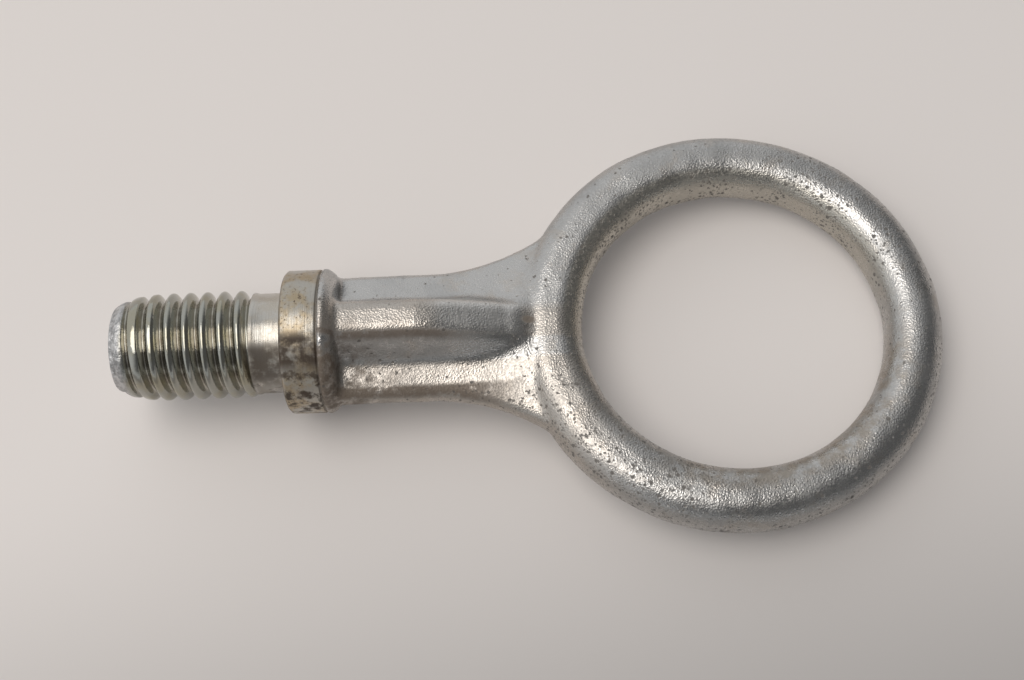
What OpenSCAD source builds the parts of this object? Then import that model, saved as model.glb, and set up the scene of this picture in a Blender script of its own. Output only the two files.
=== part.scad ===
// Screw-in tow eye: a drop-forged ring and shank with a turned collar and a coarse round thread.
// Lengths are in millimetres. The thread axis is X: the ring lies towards +X, the thread towards -X,
// and the ring is flat in the XY plane. The origin is on the axis at the collar's seat face.

/* [Thread] */

// Outside diameter over the thread crests
thread_d = 20; // [18:0.5:21]
// Distance from one crest to the next
thread_pitch = 3.175; // [2.6:0.025:3.8]
// Depth from crest to root
thread_depth = 1.65; // [1:0.05:1.8]
// Distance from the seat face to the flat end of the screw
screw_len = 31.7; // [28:0.1:38]
// Diameter of the flat end of the screw
tip_d = 15.8; // [15:0.1:16.4]
// Length over which the worn end rises most of the way to the full thread
tip_len = 3; // [2.4:0.1:4.2]
// Depth of the shallow groove left on the worn end
tip_groove = 0.35; // [0.2:0.05:0.5]
// Diameter of the plain neck, the blank the thread is rolled on
neck_d = 18.6; // [18:0.1:19]
// Length of the plain neck between the thread and the collar
neck_len = 5.2; // [4:0.1:7]
// Fillet where the neck meets the seat face
neck_fillet_r = 0.5; // [0.3:0.05:0.8]

/* [Collar] */

// Diameter of the turned collar
collar_d = 26.7; // [26:0.1:28]
// Width of the turned collar
collar_w = 6.9; // [6:0.1:9]
// Chamfer on the seat side of the collar
collar_chamfer = 0.5; // [0.3:0.05:1]
// Depth of the fine groove where turning stopped
stop_groove_depth = 0.25; // [0.15:0.05:0.5]
// Width of that groove
stop_groove_w = 0.4; // [0.3:0.05:0.8]
// How far the forged shoulder behind the collar stands above the turned face
shoulder_step = 0.15; // [0.1:0.05:0.4]
// Width of the forged shoulder
shoulder_w = 0.9; // [0.6:0.1:2]
// Length of the slope from the shoulder down to the shank
shoulder_slope_len = 1.7; // [1.2:0.1:3]

/* [Shank] */

// Half width of the shank where its sides run straight
shank_half_w = 12.75; // [12.2:0.05:13]
// Distance from the seat face to where the sides begin to flare
flare_start = 26; // [22:0.5:28]
// Radius of the flare in plan
flare_r = 38; // [34:0.5:44]
// Height of the middle rib above the parting plane near the collar
rib_h = 11.4; // [10.6:0.1:12]
// Height of the middle rib where it starts down to the ring
rib_end_h = 8.2; // [7.6:0.1:9]
// Width of the rib's flat crest
rib_crest_w = 2.4; // [1.6:0.1:3]
// Radius of the rib's crest edges
rib_crest_r = 2.8; // [2.2:0.1:3.4]
// Radius of the hollow at the rib's foot
rib_foot_r = 2.4; // [1.8:0.1:3]
// Steepness of the rib's flanks in degrees
rib_flank = 68; // [60:1:72]
// Fall of the side flanges towards their edges in degrees
flange_fall = 14; // [10:1:16]
// Radius of the rounded edge of the side flanges
flange_edge_r = 2.7; // [2.4:0.1:3.2]

/* [Ring] */

// Distance from the seat face to the middle of the ring's outside
ring_x = 81.9; // [80:0.1:84]
// Outside diameter of the ring
ring_od = 78.7; // [76:0.1:80]
// Diameter of the opening
ring_id = 56.1; // [54:0.1:58]
// How far the opening sits beyond the middle of the outside, which thins the far end
eye_shift = 0.8; // [0.4:0.1:1]
// Thickness of the ring from face to face
ring_t = 11.2; // [10.6:0.1:12]
// Radius of the rounded corners of the ring's section
ring_corner_r = 4.9; // [4.6:0.1:5.1]

/* [Hidden] */

$fn = 96;

// thread
crest_r = thread_d / 2;
root_r = crest_r - thread_depth;
neck_r = neck_d / 2;
thread_steps = 7;              // points along one pitch
thread_sides = 32;             // points round the thread
thread_end_x = -neck_len + 0.5;
thread_rows = ceil((screw_len + thread_end_x) / (thread_pitch / thread_steps));
runout_sink = 0.25;            // the runout ends this far under the neck
lead_in_pitches = 1.3;         // turns over which the end's thread grows to full depth
crest_share = 0.62;            // share of a pitch taken by the crest's round
thread_phase = 0.03;           // turn at which a crest passes the top

// collar and shoulder
collar_r = collar_d / 2;
shoulder_r = collar_r + shoulder_step;
shoulder_end_x = collar_w + shoulder_w;
slope_end_x = shoulder_end_x + shoulder_slope_len;
slope_sink = shank_half_w / 50;        // the slope ends just under the round root
turned_end_r = shank_half_w * 0.86;    // the turned body ends inside the shank

// ring
ring_ro = ring_od / 2;
ring_ri = ring_id / 2;
eye_x = ring_x + eye_shift;
land_half = ring_t / 2 - ring_corner_r;
bore_lift = 0.012;             // the opening's round crosses the flat instead of touching it
bead_rc = ring_ro - ring_corner_r;
ring_sides = 72;
corner_sides = 20;

// shank, in places given as shares of the clear length between the collar and the ring
clear_len = ring_x - ring_ro - collar_w;
shank_start_x = collar_w * 0.85;               // it starts inside the collar
round_start_x = collar_w * 1.3;
round_end_x = collar_w + 0.17 * clear_len;     // the round root has become the ribbed section here
fall_start_x = collar_w + 0.4 * clear_len;     // the rib gets lower and softer from here on
fade_start_x = collar_w + 0.82 * clear_len;    // the rib starts down to the ring here
bend_start_x = collar_w + 0.26 * clear_len;    // straight cuts start to turn into arcs here
bend_end_x = collar_w + 0.87 * clear_len;
sink = 0.35 * ring_corner_r;                   // the shank ends this deep behind the bead's middle
shank_end_x = ring_x - bead_rc - sink;
last_station_x = shank_end_x - sink;
shank_end_angle = 33;                          // as seen from the ring's middle
round_r = shank_half_w;
crest_end_h = ring_t * 0.44;                   // height of the rib where it goes into the ring
crest_end_r = ring_t * 0.54;
flank_end = 24;
fall_end = 5;
coarse_stations = 13;
fine_stations = 4;
crest_pts = 4;
foot_pts = 4;
edge_pts = 5;

function mix(a, b, t) = a + (b - a) * t;
function clamp01(t) = max(0, min(1, t));
function ease(a, b, x) = let (t = clamp01((x - a) / (b - a))) t * t * (3 - 2 * t);

// Round right-hand thread: a wide crest and a narrow root, each a parabola
function tooth(p) = let (q = abs(2 * (p - floor(p)) - 1))
    q < crest_share ? 1 - 0.5 * pow(q / crest_share, 2)
    : 0.5 * pow((1 - q) / (1 - crest_share), 2);

function lead_in(x) = ease(-screw_len, -screw_len + lead_in_pitches * thread_pitch, x);
function run_out(x) = ease(thread_end_x, thread_end_x - 0.8 * thread_pitch, x);

// Radius of the screw at distance x along the axis and turn angle a
function screw_r(x, a) = let (
    rise = tooth(x / thread_pitch + a / 360 + thread_phase),
    full = mix(root_r, crest_r, rise),
    grown = mix(crest_r - 0.55 * thread_depth, full, mix(0.35, 1, lead_in(x))),
    ended = mix(neck_r - runout_sink, grown, run_out(x)),
    cap = mix(tip_d / 2, crest_r + 0.1, 1 - exp(-(x + screw_len) / tip_len))
) min(ended, cap - tip_groove * (1 - rise) * min(1, x + screw_len));

function wrap_faces(rows, sides) = [
    for (i = [0 : rows - 2], j = [0 : sides - 1]) let (k = (j + 1) % sides)
        each [
            [i * sides + j, i * sides + k, (i + 1) * sides + k],
            [i * sides + j, (i + 1) * sides + k, (i + 1) * sides + j]
        ]
];

// Loops of points joined into a closed body, each end closed on its middle point
module loft(loops, start_mid, end_mid) {
    rows = len(loops);
    sides = len(loops[0]);
    points = concat([for (l = loops) each l], [start_mid, end_mid]);
    start_cap = [for (j = [0 : sides - 1]) [rows * sides, (j + 1) % sides, j]];
    end_cap = [for (j = [0 : sides - 1])
        [rows * sides + 1, (rows - 1) * sides + j, (rows - 1) * sides + (j + 1) % sides]];
    polyhedron(points, concat(wrap_faces(rows, sides), start_cap, end_cap), convexity = 8);
}

module screw() {
    xs = [for (i = [0 : thread_rows]) mix(-screw_len, thread_end_x, i / thread_rows)];
    loft(
        [for (x = xs) [for (j = [0 : thread_sides - 1]) let (a = 360 * j / thread_sides, r = screw_r(x, a))
            [x, r * sin(a), r * cos(a)]]],
        [-screw_len, 0, 0],
        [thread_end_x, 0, 0]
    );
}

// Half outline of the neck, collar and shoulder, revolved about the thread axis
module turned_body() {
    rotate([0, 90, 0]) rotate_extrude() difference() {
        polygon([
            [0, -neck_len], [neck_r, -neck_len], [neck_r, -neck_fillet_r], [neck_r + neck_fillet_r, 0],
            [collar_r - collar_chamfer, 0], [collar_r, collar_chamfer], [collar_r, collar_w],
            [shoulder_r, collar_w + shoulder_step], [shoulder_r, shoulder_end_x],
            [round_r - slope_sink, slope_end_x], [turned_end_r, slope_end_x], [0, slope_end_x]
        ]);
        translate([neck_r + neck_fillet_r, -neck_fillet_r]) circle(r = neck_fillet_r, $fn = 32);
        translate([collar_r - stop_groove_depth, collar_w - stop_groove_w / 2])
            square([collar_r, stop_groove_w]);
    }
}

// Half width of the forging in plan, straight and then flaring along an arc
function plan_half_w(x) = shank_half_w
    + (x > flare_start ? flare_r - sqrt(pow(flare_r, 2) - pow(min(x - flare_start, flare_r * 0.9), 2)) : 0);

// Stations turn from straight cuts into arcs about the middle of the ring
function bend(x) = ease(bend_start_x, bend_end_x, x);
function station_x(x, y) = let (rr = ring_x - x) x + bend(x) * (rr - sqrt(rr * rr - y * y));
function station_w(x, n = 12) = n == 0 ? shank_half_w : plan_half_w(station_x(x, station_w(x, n - 1)));
function shank_w(x) = min(station_w(x), (ring_x - x) * sin(shank_end_angle));

// Quarter of the ribbed section from the crest down to the parting plane, all arcs tangent
function ribbed(h, w, a, b, rc, rf, re) = let (
    along = w - rib_crest_w / 2 - rc * sin(a) - rf * (sin(a) - sin(b)) - re * (1 - sin(b)),
    down = h - rc * (1 - cos(a)) - rf * (cos(b) - cos(a)) - re * cos(b),
    flank = (down * cos(b) - along * sin(b)) / sin(a - b),
    flange = (along * sin(a) - down * cos(a)) / sin(a - b),
    c = [rib_crest_w / 2, h - rc],
    f0 = c + rc * [sin(a), cos(a)] + flank * [cos(a), -sin(a)],
    f = f0 + rf * [sin(a), cos(a)],
    e = [w - re, 0]
) concat(
    [[0, h]],
    [for (i = [0 : crest_pts]) let (t = a * i / crest_pts) c + rc * [sin(t), cos(t)]],
    [for (i = [0 : foot_pts]) let (t = mix(a, b, i / foot_pts)) f - rf * [sin(t), cos(t)]],
    [for (i = [0 : edge_pts]) let (t = mix(b, 90, i / edge_pts)) e + re * [sin(t), cos(t)]]
);
quarter_n = crest_pts + foot_pts + edge_pts + 4;
function round_quarter(r) = [for (i = [0 : quarter_n - 1]) let (t = 90 * i / (quarter_n - 1)) r * [sin(t), cos(t)]];

function rib_height(x) = mix(
    mix(rib_h, rib_end_h, clamp01((x - fall_start_x) / (shank_end_x - sink - fall_start_x))),
    crest_end_h,
    ease(fade_start_x, shank_end_x, x)
);
function quarter(x) = let (
    t = ease(round_start_x, round_end_x, x),
    u = ease(fall_start_x, shank_end_x, x),
    rib = ribbed(rib_height(x), shank_w(x), mix(rib_flank, flank_end, u), mix(flange_fall, fall_end, u),
        mix(rib_crest_r, crest_end_r, u), mix(rib_foot_r, crest_end_r, u), flange_edge_r),
    circ = round_quarter(round_r)
) [for (i = [0 : quarter_n - 1]) mix(circ[i], rib[i], t)];

function full_loop(q) = let (n = len(q)) concat(
    [for (i = [0 : n - 1]) q[i]],
    [for (i = [n - 2 : -1 : 0]) [q[i][0], -q[i][1]]],
    [for (i = [1 : n - 1]) [-q[i][0], -q[i][1]]],
    [for (i = [n - 2 : -1 : 1]) [-q[i][0], q[i][1]]]
);

module shank() {
    xs = concat(
        [shank_start_x],
        [for (i = [0 : coarse_stations - 1]) mix(slope_end_x, fade_start_x, i / coarse_stations)],
        [for (i = [0 : fine_stations]) mix(fade_start_x, last_station_x, i / fine_stations)],
        [shank_end_x]
    );
    loft(
        [for (x = xs) [for (p = full_loop(quarter(x))) [station_x(x, p[0]), p[0], p[1]]]],
        [shank_start_x, 0, 0],
        [shank_end_x, 0, 0]
    );
}

module ring() {
    difference() {
        translate([ring_x, 0, 0]) rotate_extrude($fn = ring_sides) {
            translate([0, -ring_t / 2]) square([ring_ro - ring_corner_r, ring_t]);
            translate([0, -land_half]) square([ring_ro, 2 * land_half]);
            for (s = [-1, 1]) translate([ring_ro - ring_corner_r, s * land_half])
                circle(r = ring_corner_r, $fn = corner_sides);
        }
        translate([eye_x, 0, 0]) rotate_extrude($fn = ring_sides) difference() {
            translate([0, -ring_t]) square([ring_ri + ring_corner_r, 2 * ring_t]);
            translate([ring_ri, -land_half]) square([ring_corner_r + 1, 2 * land_half]);
            for (s = [-1, 1]) translate([ring_ri + ring_corner_r, s * (land_half + bore_lift)])
                circle(r = ring_corner_r, $fn = corner_sides);
        }
    }
}

// The hammered part: shank and ring are one forging, as high as its round root behind the collar
module forging() {
    resize([0, 0, 2 * round_r]) union() {
        shank();
        ring();
    }
}

module tow_eye() {
    color([0.62, 0.63, 0.62]) union() {
        screw();
        turned_body();
        forging();
    }
}

tow_eye();
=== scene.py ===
import math

import bmesh
import bpy
from mathutils import Matrix, Vector, noise


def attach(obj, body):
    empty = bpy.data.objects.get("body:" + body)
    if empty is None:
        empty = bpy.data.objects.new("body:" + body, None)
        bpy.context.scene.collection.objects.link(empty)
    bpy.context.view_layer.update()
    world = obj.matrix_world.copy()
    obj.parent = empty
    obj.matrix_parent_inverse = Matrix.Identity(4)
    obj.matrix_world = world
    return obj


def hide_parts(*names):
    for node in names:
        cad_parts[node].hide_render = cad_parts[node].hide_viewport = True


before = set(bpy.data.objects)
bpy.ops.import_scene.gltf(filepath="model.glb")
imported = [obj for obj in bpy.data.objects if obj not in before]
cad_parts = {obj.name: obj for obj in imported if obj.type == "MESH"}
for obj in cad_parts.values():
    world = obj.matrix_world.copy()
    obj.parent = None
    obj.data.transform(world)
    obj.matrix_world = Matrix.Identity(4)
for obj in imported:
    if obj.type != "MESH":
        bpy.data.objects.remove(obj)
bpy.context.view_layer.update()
mm = 0.001          # pieces are shaped in millimetres and scaled by this at the end
mergeGap = 0.001    # vertices closer than this become one


# small helpers shared by the pieces

def clamp(t):
    return max(0.0, min(1.0, t))


def mix(a, b, t):
    return a + (b - a) * t


def ease(a, b, x):
    t = clamp((x - a) / (b - a))
    return t * t * (3 - 2 * t)


def openChain(bm, points):
    verts = [bm.verts.new(p) for p in points]
    return verts, [bm.edges.new(pair) for pair in zip(verts, verts[1:])]


def closedLoop(bm, points):
    verts, edges = openChain(bm, points)
    return verts, edges + [bm.edges.new((verts[-1], verts[0]))]


def spinFull(bm, outline, steps, middle=(0, 0, 0), axis=(1, 0, 0)):
    verts, edges = outline
    bmesh.ops.spin(bm, geom=verts + edges, cent=middle, axis=axis,
                   angle=math.tau, steps=steps, use_merge=True)


def soften(bm, verts, rounds=1):
    for _ in range(rounds):
        bmesh.ops.smooth_vert(bm, verts=verts, factor=0.5, use_axis_x=True, use_axis_y=True, use_axis_z=True)


def openRims(bm):
    return [e for e in bm.edges if e.is_boundary]


def closeMesh(bm):
    # doubles go first, then every face is turned outwards
    bmesh.ops.remove_doubles(bm, verts=bm.verts[:], dist=mergeGap)
    bmesh.ops.recalc_face_normals(bm, faces=bm.faces[:])


def meshFrom(bm, name):
    bmesh.ops.scale(bm, vec=(mm,) * 3, verts=bm.verts[:])
    mesh = bpy.data.meshes.new(name)
    bm.to_mesh(mesh)
    bm.free()
    return mesh


def objectFrom(bm, name):
    piece = bpy.data.objects.new(name, meshFrom(bm, name))
    bpy.context.scene.collection.objects.link(piece)
    for face in piece.data.polygons:
        face.use_smooth = True
    print(name + ":", len(piece.data.polygons), "faces")
    return piece


# the forging: ring, shank and shoulder overlap and are melted into one skin

ring = {
    "middleX": 81.9,        # middle of the outside
    "outerR": 39.35,
    "openingR": 28.05,
    "openingShift": 0.8,    # the opening sits further out, so the far wall is thinner
    "thickness": 11.2,
    "cornerR": 4.9,
    "cornerSteps": 10,
    "steps": 160,
}


def addRing(bm, v):
    corner = v["cornerR"]
    half = v["thickness"] / 2 - corner
    inner, outer = v["openingR"] + corner, v["outerR"] - corner
    corners = ((outer, half), (inner, half), (inner, -half), (outer, -half))
    points = []
    for quarter, (r, z) in enumerate(corners):
        for i in range(v["cornerSteps"] + 1):
            a = math.radians(90 * (quarter + i / v["cornerSteps"]))
            points.append((v["middleX"] + r + corner * math.cos(a), 0, z + corner * math.sin(a)))
    spinFull(bm, closedLoop(bm, points), v["steps"], (v["middleX"], 0, 0), (0, 0, 1))
    for w in bm.verts:
        reach = math.hypot(w.co.x - v["middleX"], w.co.y)
        w.co.x += v["openingShift"] * (1 - ease(inner, outer, reach))


shank = {
    "startX": 5.9,
    "halfW": 12.75,
    "flareStart": 26,
    "flareR": 38,
    "flareMost": 0.9,       # the flare uses at most this share of its radius
    "rootR": 12.75,         # round root behind the collar ...
    "roundStartX": 6.9,
    "roundEndX": 9.3,       # ... which has become the ribbed section here
    "fallStartX": 24,       # the rib gets lower and softer from here on
    "fallPower": 1.25,
    "fadeStartX": 41,       # it goes down into the ring's bead from here on
    "ribH": 11.4,
    "ribEndH": 6.9,
    "crestEndH": 5.4,
    "crestW": 2.4,
    "crestR": 2.8,
    "footR": 2.4,
    "farR": 4.2,            # both radii near the ring
    "flankAngle": 68,
    "flankFarAngle": 46,
    "flankEndAngle": 24,
    "flangeFall": 14,
    "flangeEndFall": 10,
    "edgeR": 2.7,
    "sink": 1.7,            # ends this far inside the ring's bead
    "endAngle": 33,
    "arcStartX": 16,        # straight cuts turn into arcs about the ring's middle between these
    "arcFullX": 38,
    "stationGap": 0.5,
    "arcSteps": 8,
    "fitRounds": 12,
}


def shankEndX():
    return ring["middleX"] - (ring["outerR"] - ring["cornerR"]) - shank["sink"]


def planHalfW(x):
    s = shank
    if x <= s["flareStart"]:
        return s["halfW"]
    run = min(x - s["flareStart"], s["flareR"] * s["flareMost"])
    return s["halfW"] + s["flareR"] - math.sqrt(s["flareR"] ** 2 - run ** 2)


def stationX(x, y):
    reach = ring["middleX"] - x
    bend = ease(shank["arcStartX"], shank["arcFullX"], x)
    return x + bend * (reach - math.sqrt(max(reach * reach - y * y, 0)))


def shankHalfW(x):
    # the bent station meets the plan's edge where both agree, found in a few rounds
    w = shank["halfW"]
    for _ in range(shank["fitRounds"]):
        w = planHalfW(stationX(x, w))
    return min(w, (ring["middleX"] - x) * math.sin(math.radians(shank["endAngle"])))


def arcPoints(middleY, middleZ, r, start, end):
    # angles count from straight up, and a negative radius makes the arc hollow
    steps = shank["arcSteps"]
    angles = [mix(start, end, i / steps) for i in range(steps + 1)]
    return [(middleY + r * math.sin(a), middleZ + r * math.cos(a)) for a in angles]


def ribbedQuarter(h, w, flankA, flangeA, crestR, footR):
    # crest, flank, hollow foot, flange and rounded edge, each tangent to the next
    edgeR, crestY, crestZ = shank["edgeR"], shank["crestW"] / 2, h - crestR
    sinA, cosA, sinB, cosB = math.sin(flankA), math.cos(flankA), math.sin(flangeA), math.cos(flangeA)
    along = w - crestY - crestR * sinA - footR * (sinA - sinB) - edgeR * (1 - sinB)
    down = h - crestR * (1 - cosA) - footR * (cosB - cosA) - edgeR * cosB
    flank = (down * cosB - along * sinB) / math.sin(flankA - flangeA)
    footY = crestY + (crestR + footR) * sinA + flank * cosA
    footZ = crestZ + (crestR + footR) * cosA - flank * sinA
    crest = arcPoints(crestY, crestZ, crestR, 0, flankA)
    foot = arcPoints(footY, footZ, -footR, flankA, flangeA)
    return [(0, h)] + crest + foot + arcPoints(w - edgeR, 0, edgeR, flangeA, math.pi / 2)


def shankSection(x):
    s = shank
    ribbed = ease(s["roundStartX"], s["roundEndX"], x)
    far = ease(s["fallStartX"], shankEndX(), x)
    gone = ease(s["fadeStartX"], shankEndX(), x)
    fall = clamp((x - s["fallStartX"]) / (s["fadeStartX"] - s["fallStartX"])) ** s["fallPower"]
    ribH = mix(mix(s["ribH"], s["ribEndH"], fall), s["crestEndH"], gone)
    flankAngle = mix(mix(s["flankAngle"], s["flankFarAngle"], far), s["flankEndAngle"], gone)
    flangeAngle = mix(s["flangeFall"], s["flangeEndFall"], far)
    rib = ribbedQuarter(ribH, shankHalfW(x), math.radians(flankAngle), math.radians(flangeAngle),
                        mix(s["crestR"], s["farR"], far), mix(s["footR"], s["farR"], far))
    quarter = []
    for i, (y, z) in enumerate(rib):
        a = math.pi / 2 * i / (len(rib) - 1)
        quarter.append((mix(s["rootR"] * math.sin(a), y, ribbed), mix(s["rootR"] * math.cos(a), z, ribbed)))
    right = quarter + [(y, -z) for y, z in quarter[-2::-1]]
    return right + [(-y, z) for y, z in right[-2:0:-1]]


def addShank(bm):
    startX, endX = shank["startX"], shankEndX()
    count = round((endX - startX) / shank["stationGap"])
    before = None
    for i in range(count + 1):
        x = mix(startX, endX, i / count)
        loop = closedLoop(bm, [(stationX(x, y), y, z) for y, z in shankSection(x)])[1]
        if before:
            bmesh.ops.bridge_loops(bm, edges=before + loop)
        if i in (0, count):
            bmesh.ops.holes_fill(bm, edges=loop, sides=0)
        before = loop


shoulder = {
    "startX": 6.0,
    "edgeX": 6.95,
    "innerR": 12.6,         # hidden in the collar
    "radius": 13.5,
    "edgeCut": 0.25,
    "topEndX": 7.8,
    "slopeEndX": 9.2,
    "slopeR": 12.4,
    "tailLen": 0.5,         # hidden in the shank
    "tailR": 11,
    "steps": 120,
}


def addShoulder(bm, v):
    # forged step behind the turned collar, spun about the thread axis
    tailX = v["slopeEndX"] + v["tailLen"]
    outline = [(v["startX"], 0), (v["startX"], v["innerR"]), (v["edgeX"], v["innerR"]),
               (v["edgeX"], v["radius"] - v["edgeCut"]), (v["edgeX"] + v["edgeCut"], v["radius"]),
               (v["topEndX"], v["radius"]), (v["slopeEndX"], v["slopeR"]), (tailX, v["tailR"]), (tailX, 0)]
    spinFull(bm, openChain(bm, [(x, 0, r) for x, r in outline]), v["steps"])


skin = {
    "voxel": 0.4,           # width of one cell of the melted skin
    "seamReach": (36.2, 42.5),  # the shank meets the ring's bead this far from the ring's middle
    "seamEndX": 57,
    "seamRounds": 8,
    "stepX": (7.4, 13),     # the shoulder's slope meets the shank here
    "stepRounds": 5,
    "softStartX": 8,
    "wave": 0.16,           # hammered unevenness, height and width
    "waveW": 9.0,
    "ripple": 0.06,
    "rippleW": 3.2,
    "rippleShift": (7, 3, 1),
    "waveSink": 0.5,        # lowers the waves by this share, so that they hardly rise above the solid
    "waveX": (7.4, 9),      # they grow from nothing to their full height between these
}


def meltTogether(bm):
    # one closed skin round the overlapping shapes
    draft = objectFrom(bm, "forgingDraft")
    melt = draft.modifiers.new("melt", "REMESH")
    melt.mode = "VOXEL"
    melt.voxel_size = skin["voxel"] * mm
    melt.adaptivity = 0
    melt.use_smooth_shade = True
    melted = bpy.data.meshes.new_from_object(draft.evaluated_get(bpy.context.evaluated_depsgraph_get()))
    bpy.data.objects.remove(draft)
    bm = bmesh.new()
    bm.from_mesh(melted)
    bmesh.ops.scale(bm, vec=(1 / mm,) * 3, verts=bm.verts[:])
    return bm


def onSeam(p, v):
    reach = math.hypot(p.x - ring["middleX"], p.y)
    return v["seamReach"][0] < reach < v["seamReach"][1] and p.x < v["seamEndX"]


def hammer(bm, v):
    # slight waves along the normals, none beside the turned collar
    bm.normal_update()
    moves = []
    for w in bm.verts:
        wave = noise.noise(w.co / v["waveW"]) - v["waveSink"]
        ripple = noise.noise(w.co / v["rippleW"] + Vector(v["rippleShift"])) - v["waveSink"]
        moves.append(w.normal * (wave * v["wave"] + ripple * v["ripple"]) * ease(*v["waveX"], w.co.x))
    for w, move in zip(bm.verts, moves):
        w.co += move


def makeForging(v):
    bm = bmesh.new()
    addRing(bm, ring)
    addShank(bm)
    addShoulder(bm, shoulder)
    closeMesh(bm)
    bm = meltTogether(bm)
    soften(bm, [w for w in bm.verts if onSeam(w.co, v)], v["seamRounds"])
    soften(bm, [w for w in bm.verts if v["stepX"][0] < w.co.x < v["stepX"][1]], v["stepRounds"])
    soften(bm, [w for w in bm.verts if w.co.x > v["softStartX"]])
    hammer(bm, v)
    bmesh.ops.recalc_face_normals(bm, faces=bm.faces[:])
    return objectFrom(bm, "forging")


# the turned collar with the plain neck

collar = {
    "radius": 13.35,
    "width": 6.9,
    "chamfer": 0.5,
    "neckR": 9.3,
    "neckLen": 5.2,
    "neckLip": 0.2,         # the rolled thread raises a lip at the neck's end
    "lip": (0.5, 0.9),      # the lip's near and far side, from the neck's end
    "endLen": 1.2,          # the neck goes on this far under the thread
    "endR": 8.4,
    "fillet": ((-0.5, 0), (-0.35, 0.04), (-0.15, 0.15), (-0.04, 0.35), (0, 0.5)),
    "grooveDepth": 0.25,    # where the tool stopped
    "grooveW": 0.4,
    "grooveRound": 0.1,
    "grooveSlope": 0.08,
    "grooveEnd": 0.02,      # its floor goes on this far past the collar's width
    "tail": (0.3, 0.9),     # length and depth of the end that is hidden in the shoulder
    "sharpTurn": 0.6,       # rims that turn more than this get a fine bevel
    "sharpStartX": -1,
    "flatRim": 0.01,
    "bevel": 0.1,
    "neckEndX": 0.02,       # faces before this take the neck's finish
    "steps": 180,
}


def collarOutline(v):
    r, neckR, lipR = v["radius"], v["neckR"], v["neckR"] + v["neckLip"]
    endX, grooveX = -v["neckLen"], v["width"] - v["grooveW"]
    lipNear, lipFar = v["lip"]
    neck = [(endX - v["endLen"], v["endR"]), (endX - lipFar, lipR), (endX - lipNear, lipR), (endX, neckR)]
    fillet = [(x, neckR + rise) for x, rise in v["fillet"]]
    rim = [(0, r - v["chamfer"]), (v["chamfer"], r), (grooveX - v["grooveRound"], r)]
    groove = [(grooveX, r - v["grooveSlope"]), (grooveX + v["grooveSlope"], r - v["grooveDepth"]),
              (v["width"] + v["grooveEnd"], r - v["grooveDepth"])]
    return neck + fillet + rim + groove + [(v["width"] + v["tail"][0], r - v["tail"][1])]


def isSharpRim(edge, v):
    xs = [w.co.x for w in edge.verts]
    isRim = max(xs) - min(xs) < v["flatRim"] and min(xs) > v["sharpStartX"]
    return isRim and edge.calc_face_angle(0) > v["sharpTurn"]


def makeCollar(v):
    bm = bmesh.new()
    spinFull(bm, openChain(bm, [(x, 0, r) for x, r in collarOutline(v)]), v["steps"])
    bmesh.ops.holes_fill(bm, edges=openRims(bm), sides=0)
    closeMesh(bm)
    bmesh.ops.bevel(bm, geom=[e for e in bm.edges if isSharpRim(e, v)], offset=v["bevel"], segments=2,
                    profile=0.5, affect="EDGES", material=-1)
    for face in bm.faces:
        face.material_index = 1 if face.calc_center_median().x < v["neckEndX"] else 0
    return objectFrom(bm, "turnedCollar")


# the rolled thread

thread = {
    "crestR": 10.0,
    "depth": 1.65,
    "pitch": 3.175,
    "endX": -31.7,
    "startX": -4.9,
    "crestShare": 0.62,     # share of the pitch that the round crest takes
    "phase": 0.03,
    "leadTurns": 1.3,       # the worn end rises to the full thread over this
    "leadShare": 0.35,      # ... from this share of it, the rest being a plain round
    "leadDrop": 0.55,       # ... that lies this share of the depth below the crests
    "runout": (0.3, 2.6),   # the thread runs out into the neck between these
    "runoutDrop": 0.15,
    "tipR": 7.9,
    "tipLen": 3.0,          # the rounded tip rises most of the way over this
    "tipSlack": 0.1,
    "tipGroove": 0.35,
    "tipGrooveLen": 1.0,
    "tipRim": 0.5,
    "tipBevel": 0.12,
    "rows": 260,
    "steps": 120,
}


def threadTooth(p):
    q = abs(2 * (p - math.floor(p)) - 1)
    share = thread["crestShare"]
    return 1 - 0.5 * (q / share) ** 2 if q < share else 0.5 * ((1 - q) / (1 - share)) ** 2


def threadRadius(x, turn):
    v = thread
    rise = threadTooth(x / v["pitch"] + turn + v["phase"])
    full = mix(v["crestR"] - v["depth"], v["crestR"], rise)
    lead = ease(v["endX"], v["endX"] + v["leadTurns"] * v["pitch"], x)
    grown = mix(v["crestR"] - v["leadDrop"] * v["depth"], full, mix(v["leadShare"], 1, lead))
    inside = ease(v["startX"] - v["runout"][0], v["startX"] - v["runout"][1], x)
    ended = mix(collar["neckR"] - v["runoutDrop"], grown, inside)
    cap = mix(v["tipR"], v["crestR"] + v["tipSlack"], 1 - math.exp(-(x - v["endX"]) / v["tipLen"]))
    groove = v["tipGroove"] * (1 - rise) * min(1, (x - v["endX"]) / v["tipGrooveLen"])
    return min(ended, cap - groove)


def makeThread(v):
    bm = bmesh.new()
    row = [(mix(v["endX"], v["startX"], i / v["rows"]), 0, v["crestR"]) for i in range(v["rows"] + 1)]
    spinFull(bm, openChain(bm, row), v["steps"])
    for w in bm.verts:
        turn = math.atan2(w.co.y, w.co.z)
        r = threadRadius(w.co.x, turn / math.tau)
        w.co.y, w.co.z = r * math.sin(turn), r * math.cos(turn)
    ends = bmesh.ops.holes_fill(bm, edges=openRims(bm), sides=0)["faces"]
    tip = [f for f in ends if f.calc_center_median().x < v["endX"] / 2]
    bmesh.ops.inset_region(bm, faces=tip, thickness=v["tipRim"], depth=0)
    bmesh.ops.bevel(bm, geom=[e for f in tip for e in f.edges], offset=v["tipBevel"], segments=2,
                    profile=0.5, affect="EDGES", material=-1)
    closeMesh(bm)
    return objectFrom(bm, "screwThread")


# node helpers

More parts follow.
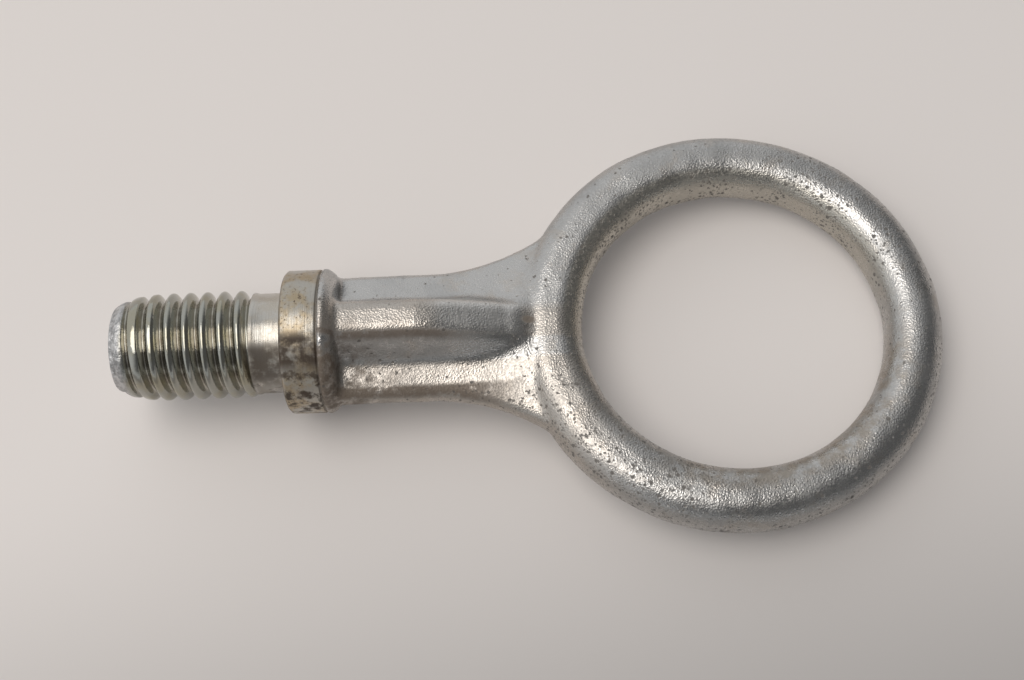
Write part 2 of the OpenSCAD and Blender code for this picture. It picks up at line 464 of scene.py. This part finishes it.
def put(tree, kind, inputs=None, **settings):
    made = tree.nodes.new(kind)
    for key, value in settings.items():
        setattr(made, key, value)
    for key, value in (inputs or {}).items():
        if isinstance(value, bpy.types.NodeSocket):
            tree.links.new(value, made.inputs[key])
        else:
            made.inputs[key].default_value = value
    return made


def combine(tree, operation, first, *others):
    for other in others:
        first = put(tree, "ShaderNodeMath", {0: first, 1: other}, operation=operation).outputs[0]
    return first


def product(tree, *values):
    return combine(tree, "MULTIPLY", *values)


def total(tree, *values):
    return combine(tree, "ADD", *values)


def largest(tree, *values):
    return combine(tree, "MAXIMUM", *values)


def without(tree, a, b):
    return combine(tree, "SUBTRACT", a, b)


def vectorMath(tree, operation, *values):
    made = put(tree, "ShaderNodeVectorMath", dict(enumerate(values)), operation=operation)
    return made.outputs["Value" if operation in ("LENGTH", "DOT_PRODUCT") else "Vector"]


def band(tree, value, low, high, toLow=0.0, toHigh=1.0):
    made = put(tree, "ShaderNodeMapRange", {"Value": value, "From Min": low, "From Max": high,
                                            "To Min": toLow, "To Max": toHigh},
               interpolation_type="SMOOTHSTEP")
    return made.outputs["Result"]


def blendColor(tree, share, a, b):
    # sockets 0, 6 and 7 are the factor and the two colours
    return put(tree, "ShaderNodeMix", {0: share, 6: a, 7: b}, data_type="RGBA").outputs[2]


def addBump(tree, shader, height, depth):
    bump = put(tree, "ShaderNodeBump", {"Height": height, "Distance": depth, "Strength": 1.0})
    tree.links.new(bump.outputs["Normal"], shader.inputs["Normal"])


# effects as node groups, in millimetres: the forging's grain and pits, and the stains of every finish

effects = {
    "grainCell": 0.7,
    "grainNoise": 0.9,      # fineness and share of the noise in the grain
    "grainNoiseShare": 0.15,
    "pitSize": 1.2,
    "pitAmount": 0.3,
    "pitRadius": 0.32,
    "pitWobble": 0.55,      # unevenness of a pit's rim
    "pitWobbleScale": 2.2,
    "pitLeast": 0.35,
    "pitRim": 0.06,
    "stainWidth": 6.0,
    "stainLow": 0.5,
    "stainHigh": 0.65,
    "stainRoughness": 0.62,
}


def groupOf(name, inputs, outputs):
    tree = bpy.data.node_groups.new(name, "ShaderNodeTree")
    tree.interface.new_socket("Vector", in_out="INPUT", socket_type="NodeSocketVector")
    for label, value in inputs.items():
        tree.interface.new_socket(label, in_out="INPUT", socket_type="NodeSocketFloat").default_value = value
    for label in outputs:
        tree.interface.new_socket(label, in_out="OUTPUT", socket_type="NodeSocketFloat")
    return tree, put(tree, "NodeGroupInput").outputs, put(tree, "NodeGroupOutput")


def makeGrainGroup(v):
    # small rounded dimples left by shot blasting
    tree, given, out = groupOf("shotGrain", {"Cell": v["grainCell"]}, ["Height", "Fleck"])
    scale = combine(tree, "DIVIDE", 1.0, given["Cell"])
    coarse = put(tree, "ShaderNodeTexNoise", {"Vector": given["Vector"], "Detail": 1.0, "Roughness": 0.6,
                                              "Scale": product(tree, scale, v["grainNoise"])}).outputs["Fac"]
    cells = put(tree, "ShaderNodeTexVoronoi", {"Vector": given["Vector"], "Scale": scale}).outputs
    height = total(tree, product(tree, coarse, v["grainNoiseShare"]), cells["Distance"])
    tree.links.new(height, out.inputs["Height"])
    pick = put(tree, "ShaderNodeSeparateColor", {"Color": cells["Color"]}).outputs[0]
    tree.links.new(pick, out.inputs["Fleck"])
    return tree


def makePitGroup(v):
    # scattered dark pits: only some cells hold one, and each has an uneven rim
    inputs = {"Size": v["pitSize"], "Amount": v["pitAmount"], "Radius": v["pitRadius"]}
    tree, given, out = groupOf("rustPits", inputs, ["Mask"])
    wobble = put(tree, "ShaderNodeTexNoise", {"Vector": given["Vector"], "Scale": v["pitWobbleScale"],
                                              "Detail": 2.0}).outputs["Color"]
    shift = vectorMath(tree, "MULTIPLY", wobble, (v["pitWobble"],) * 3)
    cells = put(tree, "ShaderNodeTexVoronoi", {"Vector": vectorMath(tree, "ADD", given["Vector"], shift),
                                               "Scale": combine(tree, "DIVIDE", 1.0, given["Size"])}).outputs
    pick = put(tree, "ShaderNodeSeparateColor", {"Color": cells["Color"]}).outputs
    chosen = combine(tree, "LESS_THAN", pick[0], given["Amount"])
    radius = product(tree, given["Radius"], total(tree, pick[1], v["pitLeast"]))
    spot = put(tree, "ShaderNodeMapRange", {"Value": without(tree, cells["Distance"], radius),
                                            "From Min": -v["pitRim"], "From Max": v["pitRim"],
                                            "To Min": 1.0, "To Max": 0.0}).outputs[0]
    tree.links.new(product(tree, spot, chosen), out.inputs["Mask"])
    return tree


def makeStainGroup(v):
    # cloudy patches, sharper or softer by the gap between Low and High
    inputs = {"Width": v["stainWidth"], "Low": v["stainLow"], "High": v["stainHigh"]}
    tree, given, out = groupOf("stainPatches", inputs, ["Mask"])
    scale = combine(tree, "DIVIDE", 1.0, given["Width"])
    cloud = put(tree, "ShaderNodeTexNoise", {"Vector": given["Vector"], "Scale": scale,
                                             "Detail": 6.0, "Roughness": v["stainRoughness"]}).outputs["Fac"]
    tree.links.new(band(tree, cloud, given["Low"], given["High"]), out.inputs["Mask"])
    return tree


grainGroup, pitGroup, stainGroup = makeGrainGroup(effects), makePitGroup(effects), makeStainGroup(effects)


def use(tree, group, place, **inputs):
    return put(tree, "ShaderNodeGroup", {"Vector": place, **inputs}, node_tree=group).outputs


def stain(tree, place, width, low, high):
    return use(tree, stainGroup, place, Width=width, Low=low, High=high)["Mask"]


def fadesAndClouds(tree, place, xyz, v):
    # along() fades a mark in on the axis that its key ends with, cloud() breaks one up into patches
    def along(key):
        return band(tree, xyz[key[-1]], *v[key])

    def cloud(key):
        return stain(tree, place, *v[key])

    return along, cloud


def newMaterial(name):
    material = bpy.data.materials.new(name)
    material.use_nodes = True
    tree = material.node_tree
    coords = put(tree, "ShaderNodeTexCoord").outputs["Object"]
    place = put(tree, "ShaderNodeMapping", {"Vector": coords, "Scale": (1 / mm,) * 3}).outputs["Vector"]
    xyz = put(tree, "ShaderNodeSeparateXYZ", {"Vector": place}).outputs
    return material, tree, tree.nodes["Principled BSDF"], place, xyz


# finishes: a pair says where a mark fades in, three numbers give a cloud's width and its two limits

forgedLook = {
    "zinc": (0.475, 0.465, 0.45, 1),
    # each mark's colour, and how much of what lies under it is covered
    "dull": ((0.43, 0.425, 0.415, 1), 1.0),
    "beige": ((0.46, 0.40, 0.335, 1), 0.3),
    "warm": ((0.46, 0.40, 0.335, 1), 0.5),
    "rust": ((0.27, 0.215, 0.155, 1), 0.6),
    # painted highlight: a paler colour along the middle of the rib's crest
    "pale": ((0.66, 0.65, 0.63, 1), 0.75),
    "fleck": ((0.22, 0.21, 0.20, 1), 0.22),
    "wall": ((0.49, 0.46, 0.40, 1), 0.75),
    # colour of the soiled patches and of the painted shade
    "grime": ((0.10, 0.068, 0.042, 1), 0.85),
    "pit": ((0.10, 0.09, 0.08, 1), 0.85),
    "roughness": 0.27,
    "dullRoughness": 0.12,
    "fleckRoughness": 0.2,
    "dirtRoughness": 0.3,
    "dirtMatt": 0.8,        # how far the pits, soiled patches and painted shade hide the metal
    "grainCell": 0.33,
    "grainDepth": 0.00005,
    "pitDepth": 0.9,
    # clouds
    "dullCloud": (9.0, 0.44, 0.62),
    "beigeCloud": (5.0, 0.52, 0.66),
    "pitCloud": (7.0, 0.36, 0.56),
    "grimeCloud": (3.4, 0.40, 0.62),
    # breaks the painted shade bands on the shank into patches
    "dirtCloud": (2.4, 0.24, 0.50),
    "rustCloud": (3.0, 0.36, 0.60),
    # on the ring, by the distance from its middle and by the side of it
    "ringRim": (41.0, 39.0),
    "innerWall": (31.4, 30.2),
    "innerWallSide": ((-0.2, 0.98, 0), -0.35, 0.35),
    "outerWall": (37.6, 38.4),
    "outerWallSide": ((0, -1, 0), -0.1, 0.5),
    "wornSide": ((-0.62, -0.78, 0), 0.72, 0.97),
    "wornFarSide": ((0.72, 0.69, 0), 0.8, 0.99),
    "wornFarShare": 0.7,
    "rustReach": (34.5, 31.5),
    "rustSide": ((0.45, -0.89, 0), 0.35, 0.85),
    "pitShare": 0.8,
    "pitsAnywhere": 0.06,
    "pits": (1.1, 0.27),    # size of a pit's cell, and the pit's radius as a share of it
    "finePits": (0.6, 0.34),
    "finePitShare": 0.8,
    # on the shank, along X, Y or Z
    "collarX": (26.0, 8.0),
    "grimeY": (4.0, -9.0),
    # painted shade in a darker band below the rib's crest and along the top of the shank's lower edge
    "crestDirtTopY": (-2.2, -3.0),
    "crestDirtLowY": (-4.4, -3.4),
    "crestDirtX": (40.0, 26.0),
    "edgeDirtY": (-9.9, -10.9),
    "edgeDirtX": (46.0, 32.0),
    "edgeDirtZ": (0.6, 1.8),
    "dirtX": (46.0, 40.0),
    "bandShadeShare": 0.95,
    "warmY": (4.5, 2.0),
    "warmX": (66.0, 50.0),
    "flankTopY": (-2.4, -3.2),
    "flankLowY": (-6.9, -6.1),
    # painted highlight along the middle of the rib's crest, inside these
    "paleTopY": (4.2, 3.0),
    "paleLowY": (-3.2, -2.2),
    "paleStartX": (26.0, 30.0),
    "paleEndX": (44.5, 42.5),
    "fleckY": (4.0, 2.0),
    # painted shade in the hollow where the rib ends
    "dimpleShade": (44.6, 0.5, 0),
    "dimpleSquash": (0.7, 1.15, 0),
    "dimpleRim": (1.15, 0.55),
    "dimpleShadeShare": 0.8,
}


def forgedSkin(v):
    material, tree, shader, place, xyz = newMaterial("forgedZincSkin")
    flat = put(tree, "ShaderNodeCombineXYZ", {"X": xyz["X"], "Y": xyz["Y"], "Z": 0.0}).outputs[0]
    fromMiddle = vectorMath(tree, "SUBTRACT", flat, (ring["middleX"], 0, 0))
    reach = vectorMath(tree, "LENGTH", fromMiddle)
    toward = vectorMath(tree, "NORMALIZE", fromMiddle)
    along, cloud = fadesAndClouds(tree, place, xyz, v)

    def side(key):
        direction, low, high = v[key]
        return band(tree, vectorMath(tree, "DOT_PRODUCT", toward, direction), low, high)

    def pitsOf(key, amount):
        size, radius = v[key]
        return use(tree, pitGroup, place, Size=size, Amount=amount, Radius=radius)["Mask"]

    grain = use(tree, grainGroup, place, Cell=v["grainCell"])
    onRing = band(tree, reach, *v["ringRim"])
    innerWall = product(tree, band(tree, reach, *v["innerWall"]), side("innerWallSide"))
    outerWall = product(tree, band(tree, reach, *v["outerWall"]), onRing, side("outerWallSide"))
    worn = largest(tree, side("wornSide"), product(tree, side("wornFarSide"), v["wornFarShare"]))
    pitted = product(tree, largest(tree, worn, innerWall, outerWall), v["pitShare"])
    pitted = product(tree, total(tree, pitted, v["pitsAnywhere"]), cloud("pitCloud"))
    pits = largest(tree, pitsOf("pits", pitted), product(tree, pitsOf("finePits", pitted), v["finePitShare"]))
    rust = product(tree, side("rustSide"), band(tree, reach, *v["rustReach"]), cloud("rustCloud"))

    # soiled patches near the collar; painted shade in a band below the rib's crest, along the top of the
    # shank's lower edge, and in the hollow at the rib's end
    grime = product(tree, along("collarX"), along("grimeY"), cloud("grimeCloud"))
    crestShade = product(tree, along("crestDirtTopY"), along("crestDirtLowY"), along("crestDirtX"))
    edgeShade = product(tree, along("edgeDirtY"), along("edgeDirtX"), along("edgeDirtZ"))
    bandShade = product(tree, largest(tree, crestShade, edgeShade), cloud("dirtCloud"), along("dirtX"))
    # painted shade: a dark spot where the rib runs down into the bead
    fromDimple = vectorMath(tree, "SUBTRACT", flat, v["dimpleShade"])
    squashed = vectorMath(tree, "MULTIPLY", fromDimple, v["dimpleSquash"])
    dimpleShade = band(tree, vectorMath(tree, "LENGTH", squashed), *v["dimpleRim"])
    grime = largest(tree, grime, product(tree, bandShade, v["bandShadeShare"]), product(tree, dimpleShade, v["dimpleShadeShare"]))

    # the crest and the lower flange are warmer than the rib's flank between them
    flank = product(tree, along("flankTopY"), along("flankLowY"))
    warm = product(tree, along("warmY"), along("warmX"), without(tree, 1.0, flank))
    # painted highlight: the middle of the rib's crest is made paler
    pale = product(tree, along("paleTopY"), along("paleLowY"), along("paleStartX"), along("paleEndX"))
    flecked = product(tree, grain["Fleck"], largest(tree, onRing, along("fleckY")))
    dull = cloud("dullCloud")
    marks = {"dull": dull, "beige": cloud("beigeCloud"), "warm": warm, "rust": rust, "pale": pale,
             "fleck": flecked, "wall": innerWall, "grime": grime, "pit": pits}
    color = v["zinc"]
    for key, mark in marks.items():
        markColor, share = v[key]
        color = blendColor(tree, product(tree, mark, share), color, markColor)
    tree.links.new(color, shader.inputs["Base Color"])

    dirty = largest(tree, pits, grime)
    uneven = product(tree, without(tree, grain["Fleck"], 0.5), v["fleckRoughness"])
    rough = total(tree, product(tree, dull, v["dullRoughness"]), v["roughness"], uneven,
                  product(tree, dirty, v["dirtRoughness"]))
    tree.links.new(rough, shader.inputs["Roughness"])
    tree.links.new(without(tree, 1.0, product(tree, dirty, v["dirtMatt"])), shader.inputs["Metallic"])
    addBump(tree, shader, without(tree, grain["Height"], product(tree, pits, v["pitDepth"])), v["grainDepth"])
    return material


turnedLook = {
    "steel": (0.42, 0.40, 0.36, 1),
    "gold": (0.40, 0.31, 0.19, 1),
    "goldShare": 0.75,
    # colour of the soiled patches and of the painted shade band
    "grime": (0.06, 0.042, 0.028, 1),
    "grimeShare": 1.0,
    # strength of the painted shade band below the middle
    "smear": 1.0,
    "specks": 1.6,
    "specksAnywhere": 0.12,
    "specksInGold": 0.5,
    "edges": 0.6,
    "roughness": 0.28,
    "goldRoughness": 0.1,
    "grimeRoughness": 0.3,
    "grimeMatt": 0.8,
    "lines": (9.0, 0.06, 0.06),     # turning lines are close along X and long round the axis
    "lineDepth": 0.00006,
    "goldCloud": (4.0, 0.40, 0.62),
    "grimeCloud": (2.6, 0.46, 0.60),
    # breaks the painted shade band into patches
    "smearCloud": (3.2, 0.26, 0.52),
    "speckCloud": (0.55, 0.56, 0.66),
    "lowY": (-1.0, -12.0),
    # the painted shade band lies between these on Y
    "smearTopY": (-2.6, -4.8),
    "smearLowY": (-10.6, -8.0),
    "seatEdgeX": (0.35, 0.1),
    "farEdgeX": (6.35, 6.6),
}
neckLook = {
    **turnedLook,
    "steel": (0.50, 0.48, 0.44, 1),
    "goldShare": 0.25,
    "grimeShare": 0.8,
    # the neck's painted shade band is a little weaker
    "smear": 0.85,
    "specks": 0.2,
    "edges": 0.0,
    "roughness": 0.17,
}


def turnedSteel(name, v):
    material, tree, shader, place, xyz = newMaterial(name)
    along, cloud = fadesAndClouds(tree, place, xyz, v)
    gold = cloud("goldCloud")
    grime = product(tree, cloud("grimeCloud"), along("lowY"), v["grimeShare"])
    # painted shade in a dark band below the middle, fine brown specks, and soiled rims along both edges of
    # the collar
    smear = product(tree, along("smearTopY"), along("smearLowY"), cloud("smearCloud"), v["smear"])
    specked = total(tree, product(tree, gold, v["specksInGold"]), v["specksAnywhere"])
    specks = product(tree, cloud("speckCloud"), specked, v["specks"])
    edges = product(tree, largest(tree, along("seatEdgeX"), along("farEdgeX")), v["edges"])
    grime = largest(tree, grime, smear, specks, edges)
    color = blendColor(tree, product(tree, gold, v["goldShare"]), v["steel"], v["gold"])
    tree.links.new(blendColor(tree, grime, color, v["grime"]), shader.inputs["Base Color"])
    tree.links.new(without(tree, 1.0, product(tree, grime, v["grimeMatt"])), shader.inputs["Metallic"])
    rough = total(tree, product(tree, grime, v["grimeRoughness"]), product(tree, gold, v["goldRoughness"]),
                  v["roughness"])
    tree.links.new(rough, shader.inputs["Roughness"])
    stretched = vectorMath(tree, "MULTIPLY", place, v["lines"])
    lines = put(tree, "ShaderNodeTexNoise", {"Vector": stretched, "Scale": 1.0, "Detail": 3.0}).outputs["Fac"]
    addBump(tree, shader, lines, v["lineDepth"])
    return material


threadLook = {
    "steel": (0.36, 0.36, 0.325, 1),
    "gold": (0.35, 0.32, 0.225, 1),
    "goldShare": 0.6,
    "root": (0.40, 0.385, 0.335, 1),
    "rootDark": (0.10, 0.07, 0.045, 1),
    "rootDarkShare": 0.5,
    "tip": (0.30, 0.30, 0.30, 1),
    "tipPale": (0.56, 0.555, 0.55, 1),
    "roughness": 0.15,
    "tipRoughness": 0.3,
    "rootStart": 0.85,      # the root's colour and its dark line begin this far below the crests
    "rootDarkStart": 1.2,
    "tipX": (-28.6, -30.0),
    "goldCloud": (5.0, 0.42, 0.62),
    "rootCloud": (2.4, 0.36, 0.66),
    "scuffCloud": (1.3, 0.38, 0.60),
    "waveScale": 1.6,
    "waveDepth": 0.00012,
    "wave": 0.25,
    "tipWave": 2.5,
}


def threadSteel(v):
    material, tree, shader, place, xyz = newMaterial("rolledThreadSteel")
    along, cloud = fadesAndClouds(tree, place, xyz, v)
    across = put(tree, "ShaderNodeCombineXYZ", {"X": 0.0, "Y": xyz["Y"], "Z": xyz["Z"]}).outputs[0]
    reach = vectorMath(tree, "LENGTH", across)
    rootR = thread["crestR"] - thread["depth"]
    tip = along("tipX")
    root = product(tree, band(tree, reach, thread["crestR"] - v["rootStart"], rootR), without(tree, 1.0, tip))
    rootLine = product(tree, root, band(tree, reach, thread["crestR"] - v["rootDarkStart"], rootR))
    darkened = product(tree, rootLine, cloud("rootCloud"), v["rootDarkShare"])
    gold = product(tree, cloud("goldCloud"), v["goldShare"])
    color = blendColor(tree, gold, v["steel"], v["gold"])
    color = blendColor(tree, root, color, v["root"])
    color = blendColor(tree, darkened, color, v["rootDark"])
    scuffed = blendColor(tree, cloud("scuffCloud"), v["tip"], v["tipPale"])
    tree.links.new(blendColor(tree, tip, color, scuffed), shader.inputs["Base Color"])
    shader.inputs["Metallic"].default_value = 1.0
    rough = total(tree, product(tree, tip, v["tipRoughness"]), v["roughness"])
    tree.links.new(rough, shader.inputs["Roughness"])
    fine = put(tree, "ShaderNodeTexNoise", {"Vector": place, "Scale": v["waveScale"],
                                            "Detail": 4.0}).outputs["Fac"]
    height = product(tree, fine, total(tree, product(tree, tip, v["tipWave"]), v["wave"]))
    addBump(tree, shader, height, v["waveDepth"])
    return material


# put the pieces in place

forging = makeForging(skin)
forging.data.materials.append(forgedSkin(forgedLook))
turned = makeCollar(collar)
turned.data.materials.append(turnedSteel("turnedCollarSteel", turnedLook))
turned.data.materials.append(turnedSteel("turnedNeckSteel", neckLook))
screw = makeThread(thread)
screw.data.materials.append(threadSteel(threadLook))
for piece in (forging, turned, screw):
    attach(piece, "root")
    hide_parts("tow_eye")
print("the three pieces have their finishes and stand for tow_eye")


# table, light and camera

table = {
    "slope": 0.0728,        # it lies under the shoulder and under the far side of the ring
    "gap": 0.03,
    "size": 1600,
    "pale": (0.69, 0.65, 0.625, 1),
    "shade": (0.345, 0.33, 0.32, 1),    # it gets darker towards the viewer
    "shadeY": (-8.0, -115.0),
    "shadeLean": 0.15,
    "glow": 0.04,           # painted light: the table glows a little, which lightens the shadows under the object
    "roughness": 0.7,
    "specular": 0.2,
}


def makeTable(v):
    bm = bmesh.new()
    bmesh.ops.create_grid(bm, x_segments=2, y_segments=2, size=v["size"] / 2)
    for w in bm.verts:
        w.co.z = (w.co.x - shoulder["topEndX"]) * v["slope"] - shoulder["radius"] - v["gap"]
    top = objectFrom(bm, "tableTop")
    material, tree, shader, _, xyz = newMaterial("paleTable")
    nearer = without(tree, xyz["Y"], product(tree, xyz["X"], v["shadeLean"]))
    shade = blendColor(tree, band(tree, nearer, *v["shadeY"]), v["pale"], v["shade"])
    tree.links.new(shade, shader.inputs["Base Color"])
    # painted light: the table also glows in its own colour
    tree.links.new(shade, shader.inputs["Emission Color"])
    shader.inputs["Emission Strength"].default_value = v["glow"] / v["pale"][1]
    shader.inputs["Roughness"].default_value = v["roughness"]
    shader.inputs["Specular IOR Level"].default_value = v["specular"]
    top.data.materials.append(material)


light = {
    "place": (-0.40, -0.08, 1.0),
    "turn": -20,
    "width": 0.94,
    "depth": 1.06,
    "power": 6.4,
    "tint": (1.0, 0.955, 0.905),
}


def makeLight(v):
    lamp = bpy.data.lights.new("softbox", "AREA")
    lamp.shape = "ELLIPSE"
    lamp.size, lamp.size_y = v["width"], v["depth"]
    lamp.energy, lamp.color = v["power"], v["tint"]
    holder = bpy.data.objects.new("softbox", lamp)
    holder.location = v["place"]
    holder.rotation_euler.z = math.radians(v["turn"])
    bpy.context.scene.collection.objects.link(holder)


room = {
    "color": (0.965, 0.98, 1, 1),
    "toWindow": (-0.86, 0.51, 0.0),     # bright on this side, dim on the other
    "turn": (-0.35, 0.45),
    "bright": 0.85,
    "dark": 0.15,
    "low": 0.65,            # pale things near the horizon, on the viewer's side
    "lowZ": (0.38, 0.08),
    "lowY": (-0.25, -0.8),
}


def makeRoom(v):
    world = bpy.data.worlds.new("room")
    bpy.context.scene.world = world
    world.use_nodes = True
    tree = world.node_tree
    toward = put(tree, "ShaderNodeTexCoord").outputs["Generated"]
    facing = vectorMath(tree, "DOT_PRODUCT", toward, v["toWindow"])
    xyz = put(tree, "ShaderNodeSeparateXYZ", {"Vector": toward}).outputs
    low = product(tree, band(tree, xyz["Z"], *v["lowZ"]), band(tree, xyz["Y"], *v["lowY"], 0.0, v["low"]))
    walls = band(tree, facing, *v["turn"], v["dark"], v["bright"])
    background = tree.nodes["Background"]
    tree.links.new(largest(tree, walls, low), background.inputs["Strength"])
    background.inputs["Color"].default_value = v["color"]


view = {
    # where the photo was taken from, and the camera's own directions
    "place": (0.04247, -0.09610, 0.23070),
    "right": (0.9993, -0.0337, -0.0183),
    "up": (0.0382, 0.9242, 0.3800),
    "back": (0.0041, -0.3804, 0.9248),
    "lens": 47.02,
    "sensor": 36,
    "nearest": 0.01,
}


def makeCamera(v):
    camera = bpy.data.objects.new("camera", bpy.data.cameras.new("camera"))
    camera.data.lens, camera.data.sensor_width = v["lens"], v["sensor"]
    camera.data.clip_start = v["nearest"]
    turn = Matrix((v["right"], v["up"], v["back"])).transposed().to_quaternion().to_matrix().to_4x4()
    camera.matrix_world = Matrix.Translation(v["place"]) @ turn
    bpy.context.scene.collection.objects.link(camera)
    bpy.context.scene.camera = camera


makeTable(table)
makeLight(light)
makeRoom(room)
makeCamera(view)
bpy.context.scene.view_settings.view_transform = "Standard"
print("table, light and camera are in place")
